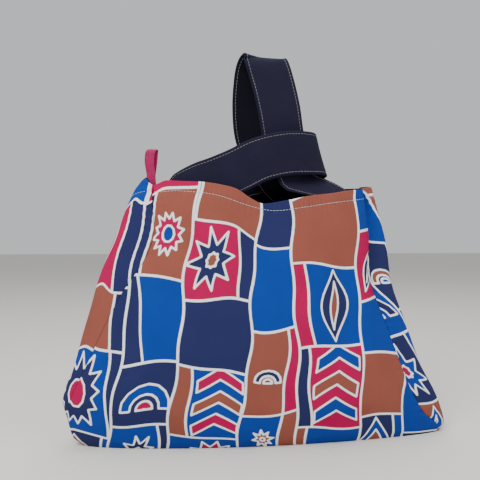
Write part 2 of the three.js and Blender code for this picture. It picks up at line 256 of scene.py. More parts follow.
# The swells' lengths, from short to long by equal ratios, with random directions and phases
def makeSwells():
    draw = np.random.default_rng(swells["seed"])
    lengths = np.geomspace(swells["shortest"], swells["longest"], swells["count"])
    directions = unit(draw.normal(size=(swells["count"], 3)) * np.array([1, 1, swells["upward"]]))
    return lengths, directions, draw.uniform(0, 2 * np.pi, swells["count"])


swellTable = makeSwells()


# The cloth's own relief, as a push inwards: swells = sum of a * sin(2 pi k.p / length), creases =
# depth * exp(-(distance / width)^2) with raised shoulders, and the seams' and hem's gathers
def relief(points, around):
    x, y, z = points[..., 0], points[..., 1], points[..., 2]
    push = np.zeros(x.shape)
    for length, direction, phase in zip(*swellTable):
        turn = 2 * np.pi * (x * direction[0] + y * direction[1] + z * direction[2]) / length
        push += swells["rise"] * length * np.sin(turn + phase) / 2
    for side, x0, z0, x1, z1, depth, width in creases:
        facing = smoothStep(side * np.sin(np.radians(around)), -0.02, 0.12)
        length = math.hypot(x1 - x0, z1 - z0)
        ux, uz = (x1 - x0) / length, (z1 - z0) / length
        t = ((x - x0) * ux + (z - z0) * uz) / length
        q = ((x - x0) * uz - (z - z0) * ux) / width
        ends = smoothStep(t, 0, creaseShape["fadeIn"]) * (1 - smoothStep(t, creaseShape["fadeOut"], 1))
        fromShoulder = (np.abs(q) - creaseShape["shoulderAt"]) / creaseShape["shoulderWidth"]
        shoulders = creaseShape["shoulder"] * np.exp(-fromShoulder ** 2)
        push += depth * facing * ends * (np.exp(-q * q) - shoulders)
    push += seamPush(around, z)
    above = z - hemHeight(around)
    groove = np.exp(-((above / hemShape["width"]) ** 2))
    along = np.radians(around) * body["width"] / 3
    drift = hemShape["drift"] * np.sin(along / hemShape["driftLength"])
    gathers = np.sin(2 * np.pi * along / hemShape["pitch"] + drift)
    reach = np.exp(-((above - hemShape["puckerAbove"]) / hemShape["puckerReach"]) ** 2)
    push += hemShape["depth"] * groove + hemShape["pucker"] * gathers * reach
    return push * smoothStep(z, 0, footHeight)


# A point of the wall: the oval's point pushed in along its level normal by inset, folds and relief
def wallPoint(around, height, inset, soft=1.0):
    step = 2
    flat = ovalPoint(around, height)
    along = unit(ovalPoint(around + step, height) - ovalPoint(around - step, height))
    points = np.concatenate([flat, np.asarray(height)[..., None] + 0 * flat[..., :1]], -1)
    push = inset + foldDepth(around, height / body["height"])
    if soft:
        push = push + soft * relief(points, around)
    points[..., 0] -= along[..., 1] * push
    points[..., 1] += along[..., 0] * push
    return points


# The row frame's origin lies under the middle of the whole part: the move from the tables' origin
def originMove():
    low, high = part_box("back_panel")
    around = np.linspace(-180, 180, 721)[None, :]
    heights = np.linspace(0, 60, 61)[:, None]
    wall = wallPoint(around + 0 * heights, heights + 0 * around, 0, 0)
    middleX = (wall[..., 0].min() + wall[..., 0].max()) / 2
    highest = wallPoint(around + 0 * heights, heights * 4 + 0 * around, 0, 0)[..., 1].max()
    return np.array([(low[0] + high[0]) / 2 / millimetre - middleX, high[1] / millimetre - highest, 0])


move = originMove()
print("origin moved by", move.round(2))


# A mesh object from points in millimetres and faces, with a UV map in millimetres of flat cloth
def makeObject(name, points, faces, cloth=None, materials=()):
    mesh = bpy.data.meshes.new(name)
    faces = [np.asarray(f, dtype=np.int32) for f in faces if len(f)]
    loops = np.concatenate([f.ravel() for f in faces])
    sizes = np.concatenate([np.full(len(f), f.shape[1], dtype=np.int32) for f in faces])
    mesh.vertices.add(len(points))
    mesh.vertices.foreach_set("co", ((points + move) * millimetre).astype(np.float32).ravel())
    mesh.loops.add(len(loops))
    mesh.loops.foreach_set("vertex_index", loops)
    mesh.polygons.add(len(sizes))
    starts = np.concatenate([[0], np.cumsum(sizes)[:-1]]).astype(np.int32)
    mesh.polygons.foreach_set("loop_start", starts)
    mesh.polygons.foreach_set("loop_total", sizes)
    mesh.update(calc_edges=True)
    mesh.validate()
    if cloth is not None:
        layer = mesh.uv_layers.new(name="cloth")
        layer.data.foreach_set("uv", cloth[loops].astype(np.float32).ravel())
    mesh.polygons.foreach_set("use_smooth", np.ones(len(sizes), dtype=bool))
    for material in materials:
        mesh.materials.append(material)
    made = bpy.data.objects.new(name, mesh)
    bpy.context.scene.collection.objects.link(made)
    return made


# Puts one value or colour a point on a mesh, for its material to read by name
def addAttribute(made, name, kind, values):
    field = "color" if kind == "FLOAT_COLOR" else "value"
    layer = made.data.attributes.new(name, kind, "POINT")
    layer.data.foreach_set(field, np.asarray(values, dtype=np.float32).ravel())


# Quads of a grid of point numbers, in the order row, next column, up
def gridFaces(ids):
    a, b, c, d = ids[:-1, :-1], ids[:-1, 1:], ids[1:, 1:], ids[1:, :-1]
    return np.stack([a, b, c, d], -1).reshape(-1, 4)


# Triangles between a fine border and a coarse one that has every k-th of its points
def zipBorders(fine, coarse, k):
    segments = len(coarse) - 1
    start = coarse[:-1, None] + np.zeros((1, k), dtype=int)
    first = fine[:-1].reshape(segments, k)
    second = fine[1:].reshape(segments, k)
    fans = np.stack([start, first, second], -1).reshape(-1, 3)
    closing = np.stack([coarse[:-1], fine[k::k], coarse[1:]], -1)
    return np.concatenate([fans, closing])


# A closed sheet of cloth with a fine shown face and a coarse hidden one, both grids of points
def clothSlab(shown, hidden, k):
    rows, columns = shown.shape[:2]
    fine = np.arange(rows * columns).reshape(rows, columns)
    coarse = rows * columns + np.arange(hidden.shape[0] * hidden.shape[1]).reshape(hidden.shape[:2])
    points = np.concatenate([shown.reshape(-1, 3), hidden.reshape(-1, 3)])
    triangles = [
        zipBorders(fine[0][::-1], coarse[0][::-1], k),
        zipBorders(fine[-1], coarse[-1], k),
        zipBorders(fine[:, 0], coarse[:, 0], k),
        zipBorders(fine[:, -1][::-1], coarse[:, -1][::-1], k),
    ]
    return points, [gridFaces(fine), gridFaces(coarse)[:, ::-1], np.concatenate(triangles)]


# A hex sRGB colour turned to linear: v / 12.92 when dark, else ((v + 0.055) / 1.055)^2.4
def linear(code):
    values = [int(code[i:i + 2], 16) / 255 for i in (0, 2, 4)]
    return tuple(v / 12.92 if v <= 0.04045 else ((v + 0.055) / 1.055) ** 2.4 for v in values)


# The print: its inks, the lines' half widths, the sizes of the patches, and the shares of them that
# have a strip down one side or no motif
printing = {
    "blue": "0f3a92",
    "navy": "232855",
    "crimson": "ab044a",
    "terracotta": "8b4c3f",
    "line": "f0f2f2",
    "borderLine": 1.3,
    "motifLine": 1.05,
    "lineEdge": 2.2,
    "bleed": 0.5,
    "bleedScale": 900,
    "patchWidths": (64, 50, 74, 56, 68, 46, 70, 54, 62, 48, 66),
    "shortest": 54,
    "tallest": 88,
    "slant": 0.12,
    "rowSlope": 0.18,
    "wobble": 1.5,
    "rows": 14,
    "start": (90, 140),
    "middle": 130,
    "stripShare": 0.5,
    "strip": (11, 17),
    "stripLean": 0.1,
    "plainShare": 0.22,
    "plainAbove": 222,
    "far": 50,
    "seed": 5,
}


# The motifs, in shares of half their patch, with margins in mm. A star's and a sun's arms have random
# lengths, a smaller figure lies in the middle of most, and a leaf leans at random, in radians.
motifs = {
    "margin": 4,
    "stretchMargin": 3.5,
    "stretch": 1.45,
    "armLengths": (0.85, 1.05),
    "star": {"arms": 8, "inner": 0.46, "middle": 0.24, "middleInner": 0.75},
    "sun": {"arms": 12, "inner": 0.64, "middle": 0.36, "middleSides": 10},
    "leaf": {"margin": 5, "width": 0.62, "lean": 0.6, "ribLength": 0.68, "ribWidth": 0.17},
    "chevrons": {"margin": 5, "count": 3, "step": 0.62, "start": 0.85, "bend": 0.55, "thick": 0.5},
    "diamonds": {"middle": 0.5},
    "arches": {"low": 0.6, "inner": 0.6, "middle": 0.34, "middleInner": 0.02},
}


# Signed distance to a closed outline of corners, negative inside it: the least distance to a side, with
# its sign from how many sides a level ray from the point crosses
def outlineDistance(points, corners):
    nearest = np.full(len(points), 1e9)
    inside = np.zeros(len(points), dtype=bool)
    for (ax, ay), (bx, by) in zip(corners, np.roll(corners, -1, axis=0)):
        px, py = points[:, 0] - ax, points[:, 1] - ay
        ex, ey = bx - ax, by - ay
        t = np.clip((px * ex + py * ey) / (ex * ex + ey * ey), 0, 1)
        nearest = np.minimum(nearest, np.hypot(px - t * ex, py - t * ey))
        crosses = (ay > points[:, 1]) != (by > points[:, 1])
        if ey:
            inside ^= crosses & (points[:, 0] < ax + (points[:, 1] - ay) * ex / ey)
    return np.where(inside, -nearest, nearest)


# Points at angles and radii from the middle
def ray(angle, radius):
    return np.stack([np.cos(angle) * radius, np.sin(angle) * radius], -1)


# A star with straight arms: the radius swings between a long one, drawn for each arm, and a short one
def starOutline(size, arms, inner, draw):
    angle = np.arange(arms * 2) * np.pi / arms + draw.uniform(0, 1)
    lengths = draw.uniform(*motifs["armLengths"], arms * 2)
    radius = np.where(np.arange(arms * 2) % 2, inner, lengths) * size
    return ray(angle, radius)


# A leaf pointed at both ends, turned by an angle: half width = wide * sin(pi t)^1.2 at share t
def leafOutline(size, wide, turn):
    t = np.linspace(0, 1, 12)
    half = wide * np.sin(np.pi * t) ** 1.2
    along = (t - 0.5) * 2 * size
    outline = np.concatenate([np.stack([along, half], -1), np.stack([along, -half], -1)[-2:0:-1]])
    cos, sin = math.cos(turn), math.sin(turn)
    return outline @ np.array([[cos, sin], [-sin, cos]])


# A bar bent upwards at its middle by rise, one of a stack of chevrons
def chevronOutline(half, rise, thick, low):
    xs = np.array([-half, 0, half])
    under = np.stack([xs, low + np.array([0, rise, 0])], -1)
    return np.concatenate([under, (under + [0, thick])[::-1]])


# A diamond with its corners on both axes, at half its width and half its height
def diamondOutline(halfWidth, halfHeight):
    return np.array([(-halfWidth, 0), (0, -halfHeight), (halfWidth, 0), (0, halfHeight)])


# A round arch between two radii: half circles out and back, moved to a height
def archOutline(outer, inner, low):
    angle = np.linspace(0, np.pi, 9)
    arch = np.concatenate([ray(angle, outer), ray(angle[::-1], inner)])
    return arch + [0, low]


# The outlines of one motif: corners, level (1 lies inside a level 0 outline) and which fill it takes
def motifOutlines(kind, halfWidth, halfHeight, draw):
    margin = motifs["margin"]
    size = min(halfWidth, halfHeight) - margin
    room = np.array([halfWidth, halfHeight]) - motifs["stretchMargin"]
    stretch = np.minimum(room, motifs["stretch"] * size) / size
    own = motifs[kind]
    if kind == "star":
        return [(starOutline(size, own["arms"], own["inner"], draw) * stretch, 0, 0),
                (starOutline(size * own["middle"], own["arms"], own["middleInner"], draw) * stretch, 1, 1)]
    if kind == "sun":
        sides = own["middleSides"]
        return [(starOutline(size, own["arms"], own["inner"], draw) * stretch, 0, 0),
                (ray(np.arange(sides) * 2 * np.pi / sides, size * own["middle"]) * stretch, 1, 1)]
    if kind == "leaf":
        turn = np.pi / 2 + draw.uniform(-own["lean"], own["lean"])
        length = max(halfWidth, halfHeight) - own["margin"]
        return [(leafOutline(length, size * own["width"], turn), 0, 0),
                (leafOutline(length * own["ribLength"], size * own["ribWidth"], turn), 1, 1)]
    if kind == "chevrons":
        half = halfWidth - own["margin"]
        step = halfHeight * own["step"]
        lows = np.arange(own["count"]) * step - halfHeight * own["start"]
        return [(chevronOutline(half, step * own["bend"], step * own["thick"], low), 0, k % 2)
                for k, low in enumerate(lows)]
    if kind == "diamonds":
        outer = diamondOutline(halfWidth - margin, halfHeight - margin)
        return [(outer, 0, 0), (outer * own["middle"], 1, 1)]
    low = -size * own["low"]
    return [(archOutline(size, size * own["inner"], low), 0, 0),
            (archOutline(size * own["middle"], size * own["middleInner"], low), 0, 1)]


# The print at points of flat cloth: signed distances to the edges of columns, rows and strips and to
# the motifs' outer and inner outlines, and the four colours that they part. Signs change only where
# a line is drawn, so the shader can find each line sharply between the points. The lines waver because
# wobble * sin(place / length) is added to both coordinates.
def printCloth(flat):
    draw = np.random.default_rng(printing["seed"])
    names = ["blue", "crimson", "navy", "terracotta"]
    grounds = ["blue", "navy", "blue", "crimson", "terracotta"]
    kinds = ["star", "leaf", "chevrons", "sun", "diamonds", "arches"]
    palette = {name: np.array(linear(printing[name])) for name in names}
    wobble = printing["wobble"]
    a = flat[:, 0] + wobble * np.sin(flat[:, 1] / 11 + flat[:, 0] / 37) + wobble * np.sin(flat[:, 1] / 23)
    b = flat[:, 1] + wobble * np.sin(flat[:, 0] / 12 + 1) + wobble * np.sin(flat[:, 0] / 29 + flat[:, 1] / 41)
    parts = ("column", "row", "strip", "outer", "inner")
    distances = {name: np.full(len(flat), float(printing["far"])) for name in parts}
    colours = {name: np.zeros((len(flat), 3)) for name in ("ground", "strip", "outer", "inner")}
    widths = np.tile(printing["patchWidths"], 3)
    edges = np.cumsum(widths) - np.sum(widths) / 2
    slants = draw.uniform(-printing["slant"], printing["slant"], len(edges))
    fromMiddle = b - printing["middle"]
    edgeAt = edges[None, :] + slants[None, :] * fromMiddle[:, None]
    columnOf = (a[:, None] > edgeAt).sum(1)
    for column in range(1, len(edges)):
        heights = draw.uniform(printing["shortest"], printing["tallest"], printing["rows"])
        tops = np.cumsum(heights) - draw.uniform(*printing["start"])
        slopes = draw.uniform(-printing["rowSlope"], printing["rowSlope"], printing["rows"])
        order = draw.permutation(len(grounds))
        pick = draw.integers(0, len(kinds))
        inColumn = np.nonzero(columnOf == column)[0]
        middle = (edges[column - 1] + edges[column]) / 2
        half = (edges[column] - edges[column - 1]) / 2
        ca, cb = a[inColumn], b[inColumn]
        fromSides = np.minimum(ca - edgeAt[inColumn, column - 1], edgeAt[inColumn, column] - ca)
        distances["column"][inColumn] = fromSides * (-1) ** column
        topAt = tops[None, :] + slopes[None, :] * (ca[:, None] - middle)
        rowOf = (cb[:, None] > topAt).sum(1)
        distances["row"][inColumn] = np.abs(cb[:, None] - topAt).min(1) * (-1.0) ** rowOf
        for row in range(1, printing["rows"]):
            ground = grounds[order[(row + column) % len(grounds)]]
            others = [n for n in names if n != ground]
            fills = [others[k] for k in draw.permutation(3)[:2]]
            halfHeight = (tops[row] - tops[row - 1]) / 2
            stripSide = 1 if draw.random() < 0.5 else -1
            strip = draw.uniform(*printing["strip"]) if draw.random() < printing["stripShare"] else 0
            lean = draw.uniform(-printing["stripLean"], printing["stripLean"])
            middleHeight = (tops[row] + tops[row - 1]) / 2
            plain = draw.random() < printing["plainShare"] or middleHeight > printing["plainAbove"]
            kind = kinds[(row * 5 + column * 2 + pick) % len(kinds)]
            outlines = [] if plain else motifOutlines(kind, half - strip / 2, halfHeight, draw)
            stripColour = others[draw.integers(0, 3)]
            inRow = rowOf == row
            here = inColumn[inRow]
            if not len(here):
                continue
            local = np.stack([ca[inRow] - middle - slants[column] * fromMiddle[here] / 2,
                              cb[inRow] - middleHeight], -1)
            if strip:
                fromStrip = stripSide * (local[:, 0] + lean * local[:, 1]) - (half - strip)
                distances["strip"][here] = -fromStrip
                local[:, 0] += stripSide * strip / 2
            colours["ground"][here] = palette[ground]
            colours["strip"][here] = palette[stripColour]
            for corners, level, which in outlines:
                name = ("outer", "inner")[level]
                distance = outlineDistance(local, corners)
                nearer = distance < distances[name][here]
                colours[name][here[nearer]] = palette[fills[which]]
                distances[name][here[nearer]] = distance[nearer]
    return distances, colours


# Flat-cloth coordinates of a grid: length along each row from x = 0, and height of the row. Rows of
# the front (facing -1) run to the right and those of the back to the left.
def flatCoordinates(grid, facing):
    steps = np.linalg.norm(np.diff(grid, axis=1), axis=-1)
    along = np.concatenate([np.zeros((len(grid), 1)), np.cumsum(steps, 1)], 1)
    rows = np.arange(len(grid))
    searched = int(0.7 * grid.shape[1])  # a ring crosses x = 0 twice, and the first crossing counts
    zero = np.argmin(np.abs(grid[:, :searched, 0]), axis=1)
    along = along - (along[rows, zero] + facing * grid[rows, zero, 0])[:, None]
    rise = np.median(np.linalg.norm(np.diff(grid, axis=0), axis=-1), axis=1)
    up = np.concatenate([[0], np.cumsum(rise)])
    return np.stack([along, np.broadcast_to(up[:, None], along.shape)], -1)


# A principled material of dry fibres, which reflect little: its roughness, sheen and a low specular
def newMaterial(name, rough, sheen):
    material = bpy.data.materials.new(name)
    material.use_nodes = True
    tree = material.node_tree
    shader = tree.nodes["Principled BSDF"]
    shader.inputs["Roughness"].default_value = rough
    shader.inputs["Sheen Weight"].default_value = sheen
    shader.inputs["Specular IOR Level"].default_value = 0.15
    return material, tree, shader


# Adds a node with its settings, links or sets its inputs by number or name, and gives one output
def addNode(tree, kind, inputs=(), output=0, **settings):
    made = tree.nodes.new("ShaderNode" + kind)
    for key, value in settings.items():
        setattr(made, key, value)
    for key, value in inputs.items() if isinstance(inputs, dict) else enumerate(inputs):
        if isinstance(value, bpy.types.NodeSocket):
            tree.links.new(value, made.inputs[key])
        else:
            made.inputs[key].default_value = value
    return made.outputs[output]


# Threads from the cloth's UV: sin(x) * sin(y) for a plain weave, sin(y + twill * x) for a twill, with
# a full turn for each pitch
def weave(tree, pitch, twill):
    flat = addNode(tree, "UVMap", output="UV", uv_map="cloth")
    across = addNode(tree, "SeparateXYZ", (flat,), 0)
    along = addNode(tree, "SeparateXYZ", (flat,), 1)
    along = addNode(tree, "Math", (across, float(twill), along), operation="MULTIPLY_ADD")
    rate = 2 * math.pi / pitch
    turns = [addNode(tree, "Math", (way, rate), operation="MULTIPLY") for way in (across, along)]
    one, other = [addNode(tree, "Math", (turn,), operation="SINE") for turn in turns]
    return other if twill else addNode(tree, "Math", (one, other), operation="MULTIPLY")


# Colours a shader with a colour times a grey shade, and raises it by a height in metres
def finish(tree, shader, colour, shade, height=None, strength=0.0, distance=0.0):
    grey = addNode(tree, "CombineColor", (shade, shade, shade))
    tinted = addNode(tree, "Mix", {0: 1.0, 6: colour, 7: grey}, 2, data_type="RGBA", blend_type="MULTIPLY")
    tree.links.new(tinted, shader.inputs["Base Color"])
    if height:
        inputs = {"Height": height, "Strength": strength, "Distance": distance}
        tree.links.new(addNode(tree, "Bump", inputs, "Normal"), shader.inputs["Normal"])


# Cotton canvas, plain woven and screen printed. To the eye: matt flat inks parted by off-white lines
# whose edges bleed a little, slow uneven patches and a faint grain. Real threads lie 0.45 mm apart,
# too fine to show, so the weave is drawn at 0.75 mm. A pair is a pattern's strength and what is added.
canvas = {"rough": 0.88, "pitch": 0.75, "grain": (0.05, 0.97), "patches": (0.24, 0.88), "patchScale": 35,
          "bump": 0.35, "relief": 0.12}


# The fills are laid one over another where a distance is below 0, and the lines over them
def printedCotton(name):
    material, tree, shader = newMaterial(name, canvas["rough"], 0.0)
    place = addNode(tree, "TexCoord", output="Object")
    spread = addNode(tree, "TexNoise", {"Vector": place, "Scale": float(printing["bleedScale"])}, "Fac")
    spread = addNode(tree, "Math", (spread, 0.5), operation="SUBTRACT")
    bleed = addNode(tree, "Math", (spread, printing["bleed"]), operation="MULTIPLY")

    # How much of a line lies at a distance from its middle: 0.5 - (|distance| - half width) * lineEdge
    def lineAlong(distance, halfWidth):
        past = addNode(tree, "Math", (distance,), operation="ABSOLUTE")
        past = addNode(tree, "Math", (past, halfWidth), operation="SUBTRACT")
        past = addNode(tree, "Math", (past, bleed), operation="ADD")
        past = addNode(tree, "Math", (past, printing["lineEdge"]), operation="MULTIPLY")
        return addNode(tree, "Math", (0.5, past), operation="SUBTRACT", use_clamp=True)

    parts = ("outer", "inner", "strip", "column", "row")
    distances = {part: addNode(tree, "Attribute", output="Fac", attribute_name=part + "_distance")
                 for part in parts}
    colour = addNode(tree, "Attribute", output="Color", attribute_name="ground_colour")
    line = 0.0
    for part in parts:
        inside = addNode(tree, "Math", (distances[part], 0.0), operation="LESS_THAN")
        if part in ("outer", "inner", "strip"):
            fill = addNode(tree, "Attribute", output="Color", attribute_name=part + "_colour")
            colour = addNode(tree, "Mix", {0: inside, 6: colour, 7: fill}, 2, data_type="RGBA")
        if part == "strip":  # a strip hides the motif's lines under it
            outside = addNode(tree, "Math", (1.0, inside), operation="SUBTRACT")
            line = addNode(tree, "Math", (line, outside), operation="MULTIPLY")
        halfWidth = printing["motifLine" if part in ("outer", "inner") else "borderLine"]
        line = addNode(tree, "Math", (line, lineAlong(distances[part], halfWidth)), operation="MAXIMUM")
    inks = {0: line, 6: colour, 7: (*linear(printing["line"]), 1)}
    colour = addNode(tree, "Mix", inks, 2, data_type="RGBA")
    threads = weave(tree, canvas["pitch"], 0)
    grain = addNode(tree, "Math", (threads, *canvas["grain"]), operation="MULTIPLY_ADD")
    uneven = {"Vector": place, "Scale": float(canvas["patchScale"]), "Detail": 4.0}
    patches = addNode(tree, "TexNoise", uneven, "Fac")
    patches = addNode(tree, "Math", (patches, *canvas["patches"]), operation="MULTIPLY_ADD")
    shade = addNode(tree, "Math", (grain, patches), operation="MULTIPLY")
    finish(tree, shader, colour, shade, threads, canvas["bump"], canvas["relief"] * millimetre)
    return material


# Dyed cotton: dye, worn fibres, pitch of the threads in mm, slant of a twill, roughness, sheen
# - lining: black-navy plain weave, which drinks the light inside the bag
# - strap: navy-black twill, matt, with diagonal ribs; its inner faces take a darker colour, painted shade
# - tape: crimson twill tape, with a soft sheen on its ribs
# Real pitches are 0.4 to 0.6 mm, too fine to show, so all are drawn coarser.
dyed = {
    "lining": ("0c1428", "1a2440", 0.6, 0, 0.8, 0.05),
    "strap": ("17162b", "303048", 1.1, 1, 0.85, 0.0),
    # a darker colour for the straps' inner faces: painted shade, not a dye
    "strapInsideShade": "090b18",
    "tape": ("a41454", "b8386f", 1.0, 1, 0.8, 0.15),
    "uneven": (0.5, 0.75),
    "unevenScale": 60,
    "grain": (0.1, 0.95),
    "fuzz": 0.22,
    "fuzzScale": 700,
    "bump": 0.5,
    "relief": 0.25,
}


# Shade = (uneven dye) * (grain of threads), and colour = dye mixed with worn fibres by a fine noise. A darker
# inside colour, if given, goes on the faces that the point attribute marks: painted shade on the straps'
# inner faces.
def dyedCloth(name, dye, worn, pitch, twill, rough, sheen, insideShade=None):
    material, tree, shader = newMaterial(name, rough, sheen)
    place = addNode(tree, "TexCoord", output="Object")
    threads = weave(tree, pitch, twill)
    uneven = {"Vector": place, "Scale": float(dyed["unevenScale"]), "Detail": 4.0}
    uneven = addNode(tree, "TexNoise", uneven, "Fac")
    uneven = addNode(tree, "Math", (uneven, *dyed["uneven"]), operation="MULTIPLY_ADD")
    grain = addNode(tree, "Math", (threads, *dyed["grain"]), operation="MULTIPLY_ADD")
    shade = addNode(tree, "Math", (uneven, grain), operation="MULTIPLY")
    fine = {"Vector": place, "Scale": float(dyed["fuzzScale"]), "Detail": 3.0}
    fuzz = addNode(tree, "TexNoise", fine, "Fac")
    fuzz = addNode(tree, "Math", (fuzz, dyed["fuzz"]), operation="MULTIPLY")
    fibres = {0: fuzz, 6: (*linear(dye), 1), 7: (*linear(worn), 1)}
    colour = addNode(tree, "Mix", fibres, 2, data_type="RGBA")
    # painted shade: the marked inner faces take the darker colour
    if insideShade:
        paintedShade = addNode(tree, "Attribute", output="Fac", attribute_name="paintedShade")
        faces = {0: paintedShade, 6: colour, 7: (*linear(insideShade), 1)}
        colour = addNode(tree, "Mix", faces, 2, data_type="RGBA")
    finish(tree, shader, colour, shade, threads, dyed["bump"], pitch * dyed["relief"] * millimetre)
    return material


# Spun cotton thread, a little shinier than the cloth; its shade varies along the seam
thread = {"hem": "b9bfca", "strap": "76716f", "rough": 0.6, "sheen": 0.2, "uneven": (0.3, 0.85), "scale": 400}


# Shade = noise * strength + the rest, times the dye
def sewingThread(name, code):
    material, tree, shader = newMaterial(name, thread["rough"], thread["sheen"])
    place = addNode(tree, "TexCoord", output="Object")
    uneven = addNode(tree, "TexNoise", {"Vector": place, "Scale": float(thread["scale"])}, "Fac")
    shade = addNode(tree, "Math", (uneven, *thread["uneven"]), operation="MULTIPLY_ADD")
    finish(tree, shader, (*linear(code), 1), shade)
    return material


cotton = printedCotton("printed cotton canvas")
darkCotton = dyedCloth("black lining cotton", *dyed["lining"])
twillWebbing = dyedCloth("navy black twill webbing", *dyed["strap"], dyed["strapInsideShade"])
crimsonTape = dyedCloth("crimson twill tape", *dyed["tape"])
hemThread = sewingThread("off-white cotton thread", thread["hem"])
strapThread = sewingThread("grey beige cotton thread", thread["strap"])
print("materials made")

# The printed panels' grids: how many steps round and up the shown face, and how many of them make one
# step of the coarser hidden face
panels = {
    "columnsFront": 340,
    "columnsBack": 360,
    "wallRows": 220,
    "baseRows": 12,
    "rollRows": 4,
    "coarse": 4,
}


# Angles of a panel's columns at shares of the wall's height: evenly spaced along the wall between the
# side seams, which lean with the height and so are settled in a few passes
def panelAngles(facing, columns, rows):
    ends = []
    for column, sign, start in ((1, 1, -180), (2, -1, 0)):
        up = rows
        for _ in range(4):
            angle = start + sign * tableAt(sideSeams, column, up)
            up = rimHeight(angle) * rows / body["height"]
        gap = 0.5 * body["seamGap"] / wallRate(angle, up * body["height"])
        ends.append(angle - facing * sign * gap)
    leftEnd, rightEnd = ends
    first, last = (leftEnd, rightEnd) if facing < 0 else (rightEnd, leftEnd + 360)
    dense = first + (last - first) * np.linspace(0, 1, 4 * columns + 1)[None, :]
    place = ovalPoint(dense, rimHeight(dense) * rows)
    steps = np.linalg.norm(np.diff(place, axis=1), axis=-1)
    length = np.concatenate([0 * rows, np.cumsum(steps, 1)], 1)
    share = np.linspace(0, 1, columns + 1)
    return np.array([np.interp(share * run[-1], run, angles) for run, angles in zip(length, dense)])


# One printed panel from side seam to side seam: the base half, which runs straight from the middle
# line to the wall's foot, the wall, and the top edge, rolled over half a circle of the cloth's
# thickness. leftFlat holds, for the back panel, where the front one's flat cloth ends at each row.
def makePanel(name, facing, columns, leftFlat=None):
    k = panels["coarse"]
    share = np.linspace(0, 1, columns + 1)[None, :]
    wallShare = np.linspace(0, 1, panels["wallRows"] + 1)[:, None]
    around = panelAngles(facing, columns, wallShare)
    wall = wallPoint(around, rimHeight(around) * wallShare, 0)
    bottom = wall[0]
    middleLine = bottom.copy()
    middleLine[:, 1] = facing * 0.5 * body["seamGap"]
    baseShare = np.linspace(0, 1, panels["baseRows"], endpoint=False)[:, None, None]
    base = middleLine[None] + (bottom - middleLine)[None] * baseShare
    radius = body["cloth"] / 2
    top = np.repeat(around[-1:], panels["rollRows"], 0)
    turnAngle = np.linspace(0, np.pi, panels["rollRows"] + 1)[1:, None]
    rollHeight = rimHeight(top)
    roll = wallPoint(top, rollHeight, radius * (1 - np.cos(turnAngle)))
    wall[..., 2] -= radius * smoothStep(wallShare, 0.9, 1)
    roll[..., 2] += radius * (np.sin(turnAngle) - 1)
    shown = np.concatenate([base, wall, roll])
    flat = flatCoordinates(shown, facing)
    flat[..., 1] -= flat[panels["baseRows"], 0, 1]
    if leftFlat is None:
        leftFlat = flat[:, 0, 0]
    else:
        offset = leftFlat - flat[:, -1, 0]
        middle = offset.mean()
        flat[..., 0] += middle + (offset - middle)[:, None] * smoothStep(share, 0.1, 0.9)

    fineRows = len(shown) - 1
    keep = np.arange(0, fineRows + 1, k)
    hidden = shown[keep][:, ::k].copy()
    along = np.gradient(hidden, axis=1)
    rise = np.gradient(hidden, axis=0)
    normal = unit(np.cross(along, rise))
    corner = panels["baseRows"] // k
    normal[:corner] = [0, 0, -1]
    normal[corner] = unit(normal[corner + 1] + [0, 0, -1])
    inWall = keep <= panels["baseRows"] + panels["wallRows"] - 2
    hidden -= normal * body["cloth"] * inWall[:, None, None]
    points, faces = clothSlab(shown, hidden, k)
    clothFlat = np.concatenate([flat.reshape(-1, 2), flat[keep][:, ::k].reshape(-1, 2)])
    made = makeObject(name, points, faces, clothFlat, [cotton])
    distances, colours = printCloth(clothFlat)
    solid = np.ones((len(clothFlat), 1))
    for part, values in distances.items():
        addAttribute(made, part + "_distance", "FLOAT", values)
    for part, values in colours.items():
        addAttribute(made, part + "_colour", "FLOAT_COLOR", np.concatenate([values, solid], 1))
    return made, around[-1], leftFlat


frontCloth, frontRim, leftFlat = makePanel("front_cloth", -1, panels["columnsFront"])
backCloth, backRim, _ = makePanel("back_cloth", 1, panels["columnsBack"], leftFlat)
for piece, node in ((frontCloth, "front_panel"), (backCloth, "back_panel")):
    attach(piece, "root")
    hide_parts(node)
print("panels made")

# The lining's grid, the share of its length that its floor's middle line has, and where its edge stands
# proud of the outer cloth: angles and spreads in degrees
liningShape = {
    "columns": 360,
    "wallRows": 120,
    "baseRows": 8,
    "rollRows": 4,
    "coarse": 4,
    "middle": 0.93,
    "proud": 1.3,
    "proudAt": ((-168, 10), (-24, 16)),
}


# How far the lining's edge stands above the outer cloth's, most at the two places listed by angle
def liningProud(around):
    proud = liningShape["proud"]
    return sum(proud * np.exp(-(turned(around - at) / spread) ** 2) for at, spread in liningShape["proudAt"])


